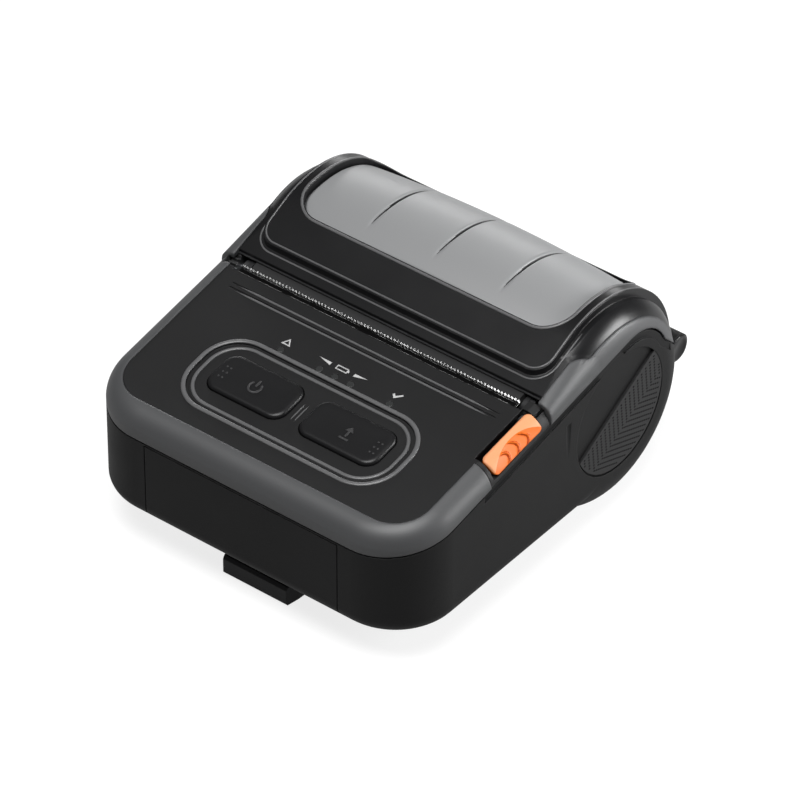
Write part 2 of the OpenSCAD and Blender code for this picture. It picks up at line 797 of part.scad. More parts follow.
module platen_carrier() color([0.08, 0.08, 0.085]) place() {
    difference() {
        union() {
            mirror_x() side_prism(arm_x0, arm_x1) {
                translate([platen_y, platen_z]) circle(r = 3.4, $fn = 48);
                polygon([[platen_y - 3, platen_z], [3.4, 46.8], [8.6, 49.3], [8.8, 46.5], [6.4, 42.4]]);
            }
            side_prism(-arm_x1, arm_x1) polygon([[8, 47.8], [9.2, 47.8], [9.2, 49.5], [8, 48.9]]);
        }
        rod(-60, 60, platen_y, platen_z, shaft_r + fit_run);
    }
}

module platen_bushes() color([0.8, 0.79, 0.74]) place() mirror_x() difference() {
    rod(arm_x1, plate_x1 + 0.1, platen_y, platen_z, 3.15);
    rod(40, 50, platen_y, platen_z, shaft_r + fit_run);
}

module platen_roller() color([0.05, 0.05, 0.05]) place() difference() {
    rod(-bay_x + 0.5, bay_x - 0.5, platen_y, platen_z, platen_r);
    rod(-50, 50, platen_y, platen_z, shaft_r);
}

module platen_shaft() color([0.7, 0.71, 0.73]) place()
    rod(-gear_x1, 45.1, platen_y, platen_z, shaft_r);

// ---- clip ----

module clip_base() color([0.08, 0.08, 0.085]) place() difference() {
    union() {
        span(-12, 12, -6.5, 5, belly_z - 1.4, belly_z);
        mirror_x() side_prism(9.6, 12) {
            translate([clip_y, clip_z]) circle(r = 2.4, $fn = 32);
            translate([clip_y - 2.4, clip_z]) square([4.8, belly_z - clip_z]);
        }
    }
    rod(-20, 20, clip_y, clip_z, clip_pin_r + fit_run);
}

module clip_pin() color([0.7, 0.71, 0.73]) place() rod(-12, 12, clip_y, clip_z, clip_pin_r);

module belt_clip() color([0.08, 0.08, 0.085]) place() difference() {
    union() {
        rod(-9.4, 9.4, clip_y, clip_z, 2.3);
        intersection() {
            side_prism(-14, 14) polygon([[clip_y + 1, 3.1], [clip_y + 1, 5.6], [-12, 5.4], [-43.4, 2.9],
                [-44.6, 5.4], [-47.2, 5.4], [-47.9, 4.6], [-47.9, 0.6], [-47.4, 0], [-42, 0], [-20, 2.2]]);
            linear_extrude(20) polygon([[-9.4, 2], [9.4, 2], [9.4, -6], [12, -9], [clip_tip_w / 2, -44],
                [clip_tip_w / 2 - 1, -50], [-clip_tip_w / 2 + 1, -50], [-clip_tip_w / 2, -44], [-12, -9], [-9.4, -6]]);
        }
    }
    rod(-20, 20, clip_y, clip_z, clip_pin_r + 2 * fit_run);
}

lower_housing();
upper_frame();
control_panel();
tear_bar();
print_head();
heatsink();
mech_frame();
drive_motor();
status_lenses();
key_board();
main_board();
battery_contacts();
port_sockets();
port_cover();
hinge_pin();
side_grips();
feet();
housing_screws();
paper_cover();
cover_trim();
window();
platen_carrier();
platen_bushes();
platen_roller();
platen_shaft();
platen_gear();
idler_gear();
motor_gear();
power_button();
feed_button();
release_button();
latch_shaft();
battery_pack();
clip_base();
clip_pin();
belt_clip();
paper_sensor();
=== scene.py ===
import json
import math

import bmesh
import bpy
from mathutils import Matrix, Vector
from mathutils.bvhtree import BVHTree


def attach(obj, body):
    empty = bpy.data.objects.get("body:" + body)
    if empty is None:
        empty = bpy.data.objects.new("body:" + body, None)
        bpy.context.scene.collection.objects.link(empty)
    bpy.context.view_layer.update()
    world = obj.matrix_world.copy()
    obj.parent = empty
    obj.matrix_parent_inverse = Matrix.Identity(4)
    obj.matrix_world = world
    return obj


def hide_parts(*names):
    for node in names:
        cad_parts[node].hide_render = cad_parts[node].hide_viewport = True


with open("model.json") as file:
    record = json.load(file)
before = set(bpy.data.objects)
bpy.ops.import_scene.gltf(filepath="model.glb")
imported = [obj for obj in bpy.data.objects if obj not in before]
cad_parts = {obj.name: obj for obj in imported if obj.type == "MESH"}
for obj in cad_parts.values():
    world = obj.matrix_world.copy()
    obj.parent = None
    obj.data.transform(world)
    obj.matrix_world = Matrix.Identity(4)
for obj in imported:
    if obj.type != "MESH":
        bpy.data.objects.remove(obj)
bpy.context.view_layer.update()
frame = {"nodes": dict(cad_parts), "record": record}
nodes = frame["nodes"]

# ---------------------------------------------------------------- places

MM = 0.001
MIDDLE = 5.0          # the frame is centred here behind the tear edge, in mm
TEAR_HEIGHT = 48.7    # height of the tear edge, mm
DECK_SLOPE = math.radians(10)
HINGE = (59.0, 29.0)  # axis of the hinge barrel, mm behind the tear edge and up


def at(x, y, z):
    """A point in mm from the tear edge, in the frame's metres."""
    return Vector((x, y - MIDDLE, z)) * MM


def on_deck(x, y, lift):
    """A point of the sloping deck, y mm behind the tear edge as seen from above."""
    rise = y * math.tan(DECK_SLOPE)
    return at(x, y - lift * math.sin(DECK_SLOPE), TEAR_HEIGHT + rise + lift * math.cos(DECK_SLOPE))


# ---------------------------------------------------------------- camera

def add_camera():
    """The photo's view: its direction, lens and small shift were fitted to edges of known size."""
    turn, tilt = math.radians(38.455), math.radians(38.67)
    back = Vector((math.sin(turn) * math.cos(tilt), -math.cos(turn) * math.cos(tilt), math.sin(tilt)))
    target, distance = Vector((0.0, -0.00385, 0.0326)), 1.4576
    lens = bpy.data.cameras.new("photo_lens")
    lens.sensor_width = 36.0
    lens.lens = 274.7
    lens.shift_x = 0.021
    lens.shift_y = -0.0233
    lens.clip_start = 0.05
    camera = bpy.data.objects.new("photo_camera", lens)
    camera.location = target + back * distance
    camera.rotation_mode = "QUATERNION"
    camera.rotation_quaternion = (-back).to_track_quat("-Z", "Y")
    bpy.context.scene.collection.objects.link(camera)
    bpy.context.scene.camera = camera


add_camera()

# ---------------------------------------------------------------- shared shader groups

FLOAT, COLOUR, VECTOR = "NodeSocketFloat", "NodeSocketColor", "NodeSocketVector"
MIX_A, MIX_B, MIX_RESULT = 6, 7, 2      # the colour sockets of a mix node


def shader_group(name, inputs, outputs):
    """An empty node group with its sockets, and its input and output nodes."""
    tree = bpy.data.node_groups.new(name, "ShaderNodeTree")
    for label, kind, value in inputs:
        socket = tree.interface.new_socket(label, in_out="INPUT", socket_type=kind)
        socket.default_value = value
    for label, kind in outputs:
        tree.interface.new_socket(label, in_out="OUTPUT", socket_type=kind)
    return tree, tree.nodes.new("NodeGroupInput"), tree.nodes.new("NodeGroupOutput")


def wire(tree, source, socket, target, entry):
    """Links an output of one node to an input of another."""
    tree.links.new(source.outputs[socket], target.inputs[entry])


def texture_group(name, size_label, size, roughness, spread):
    """A texture group with a size, and a roughness that varies with a noise by its spread."""
    return shader_group(name,
        [(size_label, FLOAT, size), ("Roughness", FLOAT, roughness), ("Spread", FLOAT, spread)],
        [("Height", FLOAT), ("Roughness", FLOAT)])


def vary_roughness(tree, start, end, noise):
    """Roughness out = roughness in + spread x (noise - 0.5)."""
    lift = tree.nodes.new("ShaderNodeMath")
    lift.operation = "SUBTRACT"
    lift.inputs[1].default_value = 0.5
    wire(tree, noise, "Fac", lift, 0)
    scale = tree.nodes.new("ShaderNodeMath")
    scale.operation = "MULTIPLY_ADD"
    wire(tree, lift, "Value", scale, 0)
    wire(tree, start, "Spread", scale, 1)
    wire(tree, start, "Roughness", scale, 2)
    wire(tree, scale, "Value", end, "Roughness")


def grain_group():
    """Fine moulded texture: height for a bump, and a roughness that varies in soft clouds."""
    tree, start, end = texture_group("moulded_grain", "Grain Size", 2600.0, 0.5, 0.12)
    where = tree.nodes.new("ShaderNodeTexCoord")
    grain = tree.nodes.new("ShaderNodeTexNoise")
    grain.inputs["Detail"].default_value = 3.0
    grain.inputs["Roughness"].default_value = 0.6
    wire(tree, where, "Object", grain, "Vector")
    wire(tree, start, "Grain Size", grain, "Scale")
    cloud = tree.nodes.new("ShaderNodeTexNoise")
    cloud.inputs["Scale"].default_value = 55.0
    cloud.inputs["Detail"].default_value = 4.0
    wire(tree, where, "Object", cloud, "Vector")
    vary_roughness(tree, start, end, cloud)
    wire(tree, grain, "Fac", end, "Height")
    return tree


def edge_group():
    """Softens the light on sharp edges and wears their colour."""
    tree, start, end = shader_group("worn_edges",
        [("Radius", FLOAT, 0.0003), ("Colour", COLOUR, (0.03, 0.03, 0.03, 1)),
         ("Worn Colour", COLOUR, (0.08, 0.08, 0.08, 1)), ("Wear", FLOAT, 0.5)],
        [("Colour", COLOUR), ("Normal", VECTOR)])
    bevel = tree.nodes.new("ShaderNodeBevel")
    bevel.samples = 4
    wire(tree, start, "Radius", bevel, "Radius")
    geometry = tree.nodes.new("ShaderNodeNewGeometry")
    dot = tree.nodes.new("ShaderNodeVectorMath")
    dot.operation = "DOT_PRODUCT"
    wire(tree, bevel, "Normal", dot, 0)
    wire(tree, geometry, "Normal", dot, 1)
    mask = tree.nodes.new("ShaderNodeMapRange")
    mask.inputs["From Min"].default_value = 0.995
    mask.inputs["From Max"].default_value = 0.86
    wire(tree, dot, "Value", mask, "Value")
    where = tree.nodes.new("ShaderNodeTexCoord")
    noise = tree.nodes.new("ShaderNodeTexNoise")
    noise.inputs["Scale"].default_value = 260.0
    noise.inputs["Detail"].default_value = 5.0
    wire(tree, where, "Object", noise, "Vector")
    break_up = tree.nodes.new("ShaderNodeMapRange")
    break_up.inputs["From Min"].default_value = 0.38
    break_up.inputs["From Max"].default_value = 0.62
    wire(tree, noise, "Fac", break_up, "Value")
    worn = tree.nodes.new("ShaderNodeMath")
    worn.operation = "MULTIPLY"
    wire(tree, mask, "Result", worn, 0)
    wire(tree, break_up, "Result", worn, 1)
    amount = tree.nodes.new("ShaderNodeMath")
    amount.operation = "MULTIPLY"
    wire(tree, worn, "Value", amount, 0)
    wire(tree, start, "Wear", amount, 1)
    mix = tree.nodes.new("ShaderNodeMix")
    mix.data_type = "RGBA"
    wire(tree, amount, "Value", mix, "Factor")
    wire(tree, start, "Colour", mix, MIX_A)
    wire(tree, start, "Worn Colour", mix, MIX_B)
    wire(tree, mix, MIX_RESULT, end, "Colour")
    wire(tree, bevel, "Normal", end, "Normal")
    return tree


def brushed_group():
    """Fine parallel lines along X for drawn or brushed metal."""
    tree, start, end = texture_group("brushed_lines", "Line Size", 5200.0, 0.3, 0.15)
    where = tree.nodes.new("ShaderNodeTexCoord")
    stretch = tree.nodes.new("ShaderNodeVectorMath")
    stretch.operation = "MULTIPLY"
    stretch.inputs[1].default_value = (0.03, 1.0, 1.0)
    wire(tree, where, "Object", stretch, 0)
    lines = tree.nodes.new("ShaderNodeTexNoise")
    lines.inputs["Detail"].default_value = 2.0
    wire(tree, stretch, "Vector", lines, "Vector")
    wire(tree, start, "Line Size", lines, "Scale")
    vary_roughness(tree, start, end, lines)
    wire(tree, lines, "Fac", end, "Height")
    return tree


GRAIN, EDGES, BRUSHED = grain_group(), edge_group(), brushed_group()


def finish(name, colour, worn, roughness, texture=GRAIN, size=2600.0, spread=0.12, depth=0.00002,
           radius=0.0003, wear=0.4, metallic=0.0, specular=0.5, coat=0.0, sheen=0.0):
    """A finished material: colour with worn edges, textured roughness and a fine bump."""
    made = bpy.data.materials.new(name)
    made.use_nodes = True
    tree = made.node_tree
    shader = tree.nodes["Principled BSDF"]
    edges = tree.nodes.new("ShaderNodeGroup")
    edges.node_tree = EDGES
    surface = tree.nodes.new("ShaderNodeGroup")
    surface.node_tree = texture
    bump = tree.nodes.new("ShaderNodeBump")
    for node, socket, value in (
            (shader, "Metallic", metallic), (shader, "Specular IOR Level", specular),
            (shader, "Coat Weight", coat), (shader, "Coat Roughness", 0.1), (shader, "Sheen Weight", sheen),
            (edges, "Radius", radius), (edges, "Colour", (*colour, 1)), (edges, "Worn Colour", (*worn, 1)),
            (edges, "Wear", wear), (surface, 0, size), (surface, "Roughness", roughness),
            (surface, "Spread", spread), (bump, "Strength", 1.0), (bump, "Distance", depth)):
        node.inputs[socket].default_value = value
    wire(tree, edges, "Colour", shader, "Base Color")
    wire(tree, surface, "Roughness", shader, "Roughness")
    wire(tree, surface, "Height", bump, "Height")
    wire(tree, edges, "Normal", bump, "Normal")
    wire(tree, bump, "Normal", shader, "Normal")
    return made


# Name of each slot: colour, worn colour, roughness, and what differs from the usual finish.
SLOTS = {
    "housing_black": ((0.0042, 0.0042, 0.0044), (0.03, 0.03, 0.031), 0.55,
                      dict(depth=0.00003, radius=0.0004, specular=0.19)),
    "frame_grey": ((0.05, 0.051, 0.053), (0.1, 0.1, 0.105), 0.46,
                   dict(depth=0.000012, spread=0.08, radius=0.0008)),
    "panel_black": ((0.0055, 0.0055, 0.0058), (0.03, 0.03, 0.03), 0.5, dict(depth=0.000015, specular=0.3)),
    "trim_black": ((0.005, 0.005, 0.0055), (0.03, 0.03, 0.03), 0.3,
                   dict(depth=0.000004, radius=0.0004, specular=0.3)),
    "window_smoke": ((0.2, 0.203, 0.206), (0.3, 0.3, 0.3), 0.42, dict(depth=0.000003, spread=0.06)),
    "tear_steel": ((0.3, 0.3, 0.31), (0.85, 0.85, 0.85), 0.42,
                   dict(texture=BRUSHED, size=5200.0, metallic=1.0, wear=1.0, radius=0.00012)),
    "head_ceramic": ((0.7, 0.68, 0.62), (0.8, 0.78, 0.74), 0.2, dict(depth=0.000004)),
    "sink_alu": ((0.6, 0.61, 0.63), (0.8, 0.8, 0.8), 0.4, dict(texture=BRUSHED, size=3800.0, metallic=1.0)),
    "steel": ((0.5, 0.51, 0.53), (0.8, 0.8, 0.8), 0.3, dict(texture=BRUSHED, size=5200.0, metallic=1.0)),
    "lens_clear": ((0.02, 0.021, 0.021), (0.2, 0.2, 0.2), 0.25, dict(depth=0.000004, coat=0.6)),
    "board_green": ((0.02, 0.1, 0.04), (0.3, 0.3, 0.1), 0.4, dict(depth=0.00001, coat=0.3)),
    "brass": ((0.72, 0.5, 0.2), (0.9, 0.75, 0.4), 0.28, dict(texture=BRUSHED, size=4200.0, metallic=1.0)),
    "rubber_black": ((0.012, 0.012, 0.0125), (0.035, 0.035, 0.035), 0.66,
                     dict(size=1800.0, depth=0.00004, sheen=0.05, specular=0.3)),
    "key_black": ((0.006, 0.006, 0.0065), (0.03, 0.03, 0.03), 0.36,
                  dict(depth=0.000008, spread=0.06, specular=0.3)),
    "release_orange": ((0.6, 0.115, 0.003), (0.85, 0.3, 0.1), 0.46,
                       dict(depth=0.000008, wear=0.3, specular=0.3)),
    "gear_plastic": ((0.02, 0.02, 0.021), (0.08, 0.08, 0.08), 0.45, dict(depth=0.00001)),
    "inner_black": ((0.01, 0.01, 0.011), (0.05, 0.05, 0.05), 0.55, dict(depth=0.00003, specular=0.3)),
    "motor_steel": ((0.42, 0.43, 0.45), (0.7, 0.7, 0.7), 0.35,
                    dict(texture=BRUSHED, size=4200.0, metallic=1.0)),
}
# The same for the finishes that only pieces made here have.
EXTRAS = {
    # the release key's top facet painted lighter as a highlight, and painted shade beside its ribs
    "release_painted_highlight": ((0.62, 0.26, 0.12), (0.9, 0.5, 0.3), 0.46,
                     dict(depth=0.000008, wear=0.3, specular=0.3)),
    "release_shade": ((0.3, 0.03, 0.002), (0.4, 0.05, 0.005), 0.5,
                      dict(depth=0.000008, wear=0.1, specular=0.2)),
    "groove_shade": ((0.012, 0.012, 0.0125), (0.03, 0.03, 0.03), 0.5, dict(depth=0.000004, wear=0.1)),
    "grip_field": ((0.014, 0.014, 0.0145), (0.03, 0.03, 0.031), 0.55,
                   dict(depth=0.00003, wear=0.2, specular=0.26)),
    "grip_dot": ((0.001, 0.001, 0.001), (0.004, 0.004, 0.004), 0.8,
                 dict(depth=0.00001, wear=0.1, specular=0.08)),
    "printed_pale": ((0.42, 0.42, 0.42), (0.5, 0.5, 0.5), 0.5, dict(depth=0.000004, wear=0.1)),
    "moulded_mark": ((0.024, 0.024, 0.025), (0.08, 0.08, 0.08), 0.45, dict(depth=0.000004, wear=0.1)),
    # pale beads along edges and lips: their colour is a painted highlight
    "lip_painted_highlight": ((0.09, 0.09, 0.092), (0.15, 0.15, 0.15), 0.3, dict(depth=0.000002, wear=0.3)),
}
MATERIALS = {name: finish(name, colour, worn, roughness, **rest)
             for name, (colour, worn, roughness, rest) in {**SLOTS, **EXTRAS}.items()}

TOOTH_ROOT, TOOTH_HIGHLIGHT = 0.0479, 0.0482     # heights in the frame where the teeth begin and turn pale with the painted highlight, m
TOOTH_DARK_LEVEL, TOOTH_HIGHLIGHT_LEVEL = 0.015, 0.3


def paint_teeth_highlight():
    """The tear edge is darker below the teeth, and the teeth are paler as a painted highlight."""
    tree = MATERIALS["tear_steel"].node_tree
    edges = next(node for node in tree.nodes if node.type == "GROUP" and node.node_tree == EDGES)
    where = tree.nodes.new("ShaderNodeTexCoord")
    split = tree.nodes.new("ShaderNodeSeparateXYZ")
    above = tree.nodes.new("ShaderNodeMapRange")
    for socket, value in (("From Min", TOOTH_ROOT), ("From Max", TOOTH_HIGHLIGHT),
                          ("To Min", TOOTH_DARK_LEVEL), ("To Max", TOOTH_HIGHLIGHT_LEVEL)):
        above.inputs[socket].default_value = value
    wire(tree, where, "Object", split, "Vector")
    wire(tree, split, "Z", above, "Value")
    wire(tree, above, "Result", edges, "Colour")


paint_teeth_highlight()

for part in frame["record"]["subparts"]:
    piece = nodes[part["node"]]
    piece.data.materials.clear()
    piece.data.materials.append(MATERIALS[part["material_slot"]])

# ---------------------------------------------------------------- mesh helpers

def paint_faces(piece, paint, chosen):
    """Gives the faces with the chosen numbers one more material."""
    piece.data.materials.append(paint)
    slot = len(piece.data.materials) - 1
    for number in chosen:
        piece.data.polygons[number].material_index = slot


def make_piece(name, points, faces, paint, body, smooth=True):
    """One closed mesh with its faces outwards, riding on a body."""
    shape = bpy.data.meshes.new(name)
    shape.from_pydata([tuple(point) for point in points], [], faces)
    tidy = bmesh.new()
    tidy.from_mesh(shape)
    bmesh.ops.recalc_face_normals(tidy, faces=tidy.faces)
    tidy.to_mesh(shape)
    tidy.free()
    for face in shape.polygons:
        face.use_smooth = smooth
    shape.materials.append(paint)
    piece = bpy.data.objects.new(name, shape)
    bpy.context.scene.collection.objects.link(piece)
    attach(piece, body)
    return piece


def add_loops(points, faces, loops):
    """Skin a stack of equal loops, closed by a cap at each end."""
    first, count = len(points), len(loops[0])
    for loop in loops:
        points.extend(loop)
    for row in range(len(loops) - 1):
        low, high = first + row * count, first + (row + 1) * count
        for step in range(count):
            after = (step + 1) % count
            faces.append((low + step, low + after, high + after, high + step))
    faces.append(tuple(range(first + count - 1, first - 1, -1)))
    last = first + (len(loops) - 1) * count
    faces.append(tuple(range(last, last + count)))


def add_rings(points, faces, rings, closed):
    """Skin a row of equal rings: the last joined to the first where closed, else a cap at each end."""
    if not closed:
        add_loops(points, faces, rings)
        return
    first, count = len(points), len(rings[0])
    for ring in rings:
        points.extend(ring)
    for row in range(len(rings)):
        low, high = first + row * count, first + ((row + 1) % len(rings)) * count
        for step in range(count):
            after = (step + 1) % count
            faces.append((low + step, low + after, high + after, high + step))


def round_path(radius, angles):
    """Places on a circle about the origin, at the given angles in degrees from +X."""
    return [(radius * math.cos(math.radians(a)), radius * math.sin(math.radians(a))) for a in angles]


def rounded_outline(x0, x1, y0, y1, radius, steps=8):
    """Corners of a rounded rectangle, counter-clockwise."""
    corners = [(x1 - radius, y1 - radius, 0), (x0 + radius, y1 - radius, 90),
               (x0 + radius, y0 + radius, 180), (x1 - radius, y0 + radius, 270)]
    return [(x + radius * math.cos(math.radians(start + 90 * k / steps)),
             y + radius * math.sin(math.radians(start + 90 * k / steps)))
            for x, y, start in corners for k in range(steps + 1)]


def add_tube_on_deck(points, faces, path, width, height, base, closed=True, steps=6):
    """A half-round bead on the deck along a path seen from above, in mm."""
    rings, total = [], len(path)
    for k, (x, y) in enumerate(path):
        before = path[k - 1] if closed or k else path[k]
        after = path[(k + 1) % total] if closed or k < total - 1 else path[k]
        run = Vector((after[0] - before[0], after[1] - before[1])).normalized()
        side = Vector((run.y, -run.x))
        taper = 1.0 if closed else min(1.0, (0.15 + min(k, total - 1 - k)) / 3.0)
        ring = []
        for turn in range(steps + 1):
            angle = math.pi * turn / steps
            out = side * math.cos(angle) * width / 2 * taper
            ring.append(on_deck(x + out.x, y + out.y, base + height * taper * math.sin(angle)))
        ring.append(on_deck(x, y, base - 0.1))
        rings.append(ring)
    add_rings(points, faces, rings, closed)


def add_plate_on_deck(points, faces, outline, low, high):
    """A flat mark on the deck with the given outline, in mm as seen from above."""
    add_loops(points, faces, [[on_deck(x, y, lift) for x, y in outline] for lift in (low, high)])


def moved(outline, x, y):
    """The outline carried along by x and y."""
    return [(x + u, y + v) for u, v in outline]


def box(x0, y0, x1, y1):
    """The outline of an upright rectangle."""
    return [(x0, y0), (x1, y0), (x1, y1), (x0, y1)]


# ---------------------------------------------------------------- keys and panel

KEY = (2.3, 25.5, -35.8, -23.8, 3.5)   # feed key outline from above: x0, x1, y0, y1 and corner radius, mm
KEY_ROWS = [(0.0, -3.0), (0.0, -0.35), (0.08, -0.05), (0.25, 0.22), (0.5, 0.4), (0.85, 0.49), (1.3, 0.5),
            (2.2, 0.46), (3.4, 0.38), (4.8, 0.33)]      # the cap's section: inset and lift over the deck, mm
SIGN_LOW, SIGN_HIGH, DOT_HIGH = 0.27, 0.44, 0.5         # lifts of the keys' signs and dots, mm
SIGN_ROW = -30.2                                        # the signs' distance in front of the tear edge, mm
RING_BEADS = [((31.2, -42.0, -18.7, 9.8), 1.2, 0.34, -0.17), ((29.0, -40.1, -20.6, 8.1), 1.0, 0.32, -0.5)]
BAR_ROWS, BAR_HALF = (-8.0, -6.3), 38.5                 # the bars before the tear edge, half their length, mm
RIB_COLUMNS, RIB_FRONT, RIB_LENGTH = (-0.55, 0.55), -33.5, 6.0      # the rib between the keys, mm
MARK_ROW, MARK_LOW, MARK_HIGH = -14.4, -0.17, -0.11     # place and lifts of the marks by the lamps, mm


def add_key(name, body, mirrored):
    """A soft-edged key cap with a shallow dish, on the place of its CAD node."""
    x0, x1, y0, y1, radius = KEY
    loops = []
    for inset, lift in KEY_ROWS:
        corner = max(radius - inset * 0.8, 0.6)
        outline = rounded_outline(x0 + inset, x1 - inset, y0 + inset, y1 - inset, corner)
        if mirrored:
            outline = [(-x, y) for x, y in reversed(outline)]
        loops.append([on_deck(x, y, lift) for x, y in outline])
    points, faces = [], []
    add_loops(points, faces, loops)
    piece = make_piece(name + "_cap", points, faces, MATERIALS["key_black"], body)
    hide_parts(name)


def add_key_marks():
    """Moulded icons and grip dots on the two keys: generic power and feed signs."""
    outer, inner = round_path(1.9, range(52, -234, -12)), round_path(1.35, range(-232, 53, 12))
    arc = outer + inner
    bar = box(-0.28, 0.2, 0.28, 2.3)
    arrow = [(-0.28, -1.0), (0.28, -1.0), (0.28, 0.7), (1.2, 0.7), (0.0, 2.2), (-1.2, 0.7), (-0.28, 0.7)]
    base = box(-1.3, -2.0, 1.3, -1.45)
    dot = round_path(0.26, range(0, 360, 36))
    for name, body, x, signs, end in (("power_mark", "power_key", -13.6, (arc, bar), -22.8),
                                      ("feed_mark", "feed_key", 14.3, (arrow, base), 22.8)):
        points, faces = [], []
        for outline in signs:
            add_plate_on_deck(points, faces, moved(outline, x, SIGN_ROW), SIGN_LOW, SIGN_HIGH)
        for column in (-0.55, 0.55):
            for row in (-1.7, 0.0, 1.7):
                spot = moved(dot, end + column, SIGN_ROW + row)
                add_plate_on_deck(points, faces, spot, SIGN_LOW, DOT_HIGH)
        make_piece(name, points, faces, MATERIALS["moulded_mark"], body, smooth=False)


def add_panel_relief():
    """Beads of the ring round the keys, the bars before the tear edge and the rib between the keys, pale as a
    painted highlight.
    """
    points, faces = [], []
    for (half, front, rear, corner), width, height, base in RING_BEADS:
        ring = rounded_outline(-half, half, front, rear, corner, 16)
        add_tube_on_deck(points, faces, ring, width, height, base)
    for y in BAR_ROWS:
        bar = [(-BAR_HALF + 2 * BAR_HALF * k / 40, y) for k in range(41)]
        add_tube_on_deck(points, faces, bar, 0.62, 0.24, -0.17, closed=False)
    for x in RIB_COLUMNS:
        rib = [(x, RIB_FRONT + RIB_LENGTH * k / 12) for k in range(13)]
        add_tube_on_deck(points, faces, rib, 0.4, 0.16, -0.46, closed=False)
    make_piece("panel_relief", points, faces, MATERIALS["lip_painted_highlight"], "housing")


def add_lamp_marks():
    """Generic pale marks by the lamps: a warning triangle, a wedge on each side of a cell, and a tick."""
    wedge = [(-1.9, 0.42), (1.9, -0.55), (1.9, 0.42)]
    other_wedge = [(-u, v) for u, v in reversed(wedge)]
    cell = [box(-1.7, -0.7, 1.7, -0.4), box(-1.7, 0.4, 1.7, 0.7), box(-1.7, -0.4, -1.4, 0.4),
            box(1.4, -0.4, 1.7, 0.4), box(1.7, -0.3, 2.1, 0.3)]
    tick = [(-1.3, 0.1), (-0.9, 0.5), (-0.3, -0.15), (1.1, 1.1), (1.45, 0.75), (-0.3, -0.95)]
    outer = [(0.0, 1.15), (-1.35, -1.0), (1.35, -1.0)]
    inner = [(0.0, 0.45), (-0.72, -0.65), (0.72, -0.65)]
    triangle = [[outer[k], outer[(k + 1) % 3], inner[(k + 1) % 3], inner[k]] for k in range(3)]
    marks = [(wedge, -5.3), (other_wedge, 5.5)] + [(side, 0) for side in cell]
    marks += [(tick, 16.4)] + [(side, -16.5) for side in triangle]
    points, faces = [], []
    for outline, x in marks:
        add_plate_on_deck(points, faces, moved(outline, x, MARK_ROW), MARK_LOW, MARK_HIGH)
    make_piece("lamp_marks", points, faces, MATERIALS["printed_pale"], "housing", smooth=False)


add_key("feed_button", "feed_key", False)
add_key("power_button", "power_key", True)
add_key_marks()
add_panel_relief()
add_lamp_marks()

# ---------------------------------------------------------------- cover

WINDOW = (40.0, 16.0, 51.0, 7.5)        # half width, front, rear and corner radius from above, mm
WINDOW_AXIS = (29.5, 31.0)              # axis of the pane's curve behind the tear edge and up, mm
WINDOW_RADIUS, WINDOW_CROWN = 29.5, 485.0   # radius of the pane's curve, and of its crown across, mm
PANE_INSET, PANE_SINK = 0.35, 0.8       # the pane's gap to the opening and its depth below the edge, mm
PANE_THICK, PANE_ROLL = 1.2, 0.5        # thickness and rim radius of the pane, mm
GROOVES = (-20.0, 0.0, 20.0)            # places of the pane's grooves across, mm
GROOVE_START, GROOVE_FADE = 21.0, 12.0  # the grooves begin here behind the tear edge and deepen so far, mm
GROOVE_DEPTH, GROOVE_WIDTH = 0.95, 0.42
SHADE_MIDDLE, SHADE_HALF, SHADE_FADE = -0.1, (0.05, 0.3), 14.0      # the dark line in each groove, mm
COLUMN_STEP, LENGTH_STEPS = 1.6, 30     # the pane's mesh: step across in mm, and steps along
RIM_STEPS = [0.0, 0.06, 0.16, 0.3, 0.5, 0.8, 1.3]       # close steps that follow a soft rim, mm
MARK_STEPS = [0.0, 0.12, 0.24, 0.38, 0.55, 0.8, 1.2]    # close steps that follow a groove, mm
LIP_OUT = 0.55                          # the lip, pale as a painted highlight, runs this far outside the window's opening, mm
LIP_SIZE, RIDGE_SIZE, RIDGE_SUNK = (0.75, 0.22), (0.5, 0.14), -0.05     # width and height of the beads, mm
RIDGE_UPPER = ((-42.9, 42.9, 6.9, 90.0, 4.6), 48.0)     # outlines of the ridge's two edges, and where
RIDGE_LOWER = ((-44.1, 44.1, 5.5, 90.0, 5.6), 22.0)     # their sides end behind the tear edge, mm
CAP_ROWS = [(44.6, 2.6), (44.95, 3.45), (45.1, 3.45), (45.25, 3.2), (45.22, 2.7), (45.1, 2.55), (45.1, 0.02)]


def pane_height(x, y, drop=0.0):
    """Height in mm of the crowned pane at a place seen from above."""
    radius = WINDOW_RADIUS - x * x / 2 / WINDOW_CROWN - drop
    return WINDOW_AXIS[1] + math.sqrt(radius * radius - (y - WINDOW_AXIS[0]) ** 2)


def spread(low, high, marks, step):
    """Values from low to high, close together at both ends and round each mark."""
    parts = int((high - low) / step)
    values = {round(low + f, 4) for f in RIM_STEPS} | {round(high - f, 4) for f in RIM_STEPS}
    values |= {round(low + (high - low) * k / parts, 4) for k in range(parts + 1)}
    values |= {round(mark + side * f, 4) for mark in marks for side in (-1, 1) for f in MARK_STEPS}
    return sorted(value for value in values if low <= value <= high)


def add_slab(points, faces, top, low):
    """A closed slab between two equal grids of points."""
    first, rows, count = len(points), len(top), len(top[0])
    for grid in (top, low):
        for line in grid:
            points.extend(line)
    half = rows * count
    for row in range(rows - 1):
        for step in range(count - 1):
            a = first + row * count + step
            faces.append((a, a + count, a + count + 1, a + 1))
            faces.append((a + half, a + half + 1, a + half + count + 1, a + half + count))
    rim = [row * count for row in range(rows)] + [(rows - 1) * count + step for step in range(1, count)]
    rim += [row * count + count - 1 for row in range(rows - 2, -1, -1)] + list(range(count - 2, 0, -1))
    for k, here in enumerate(rim):
        after = rim[(k + 1) % len(rim)]
        faces.append((first + here, first + after, first + after + half, first + here + half))


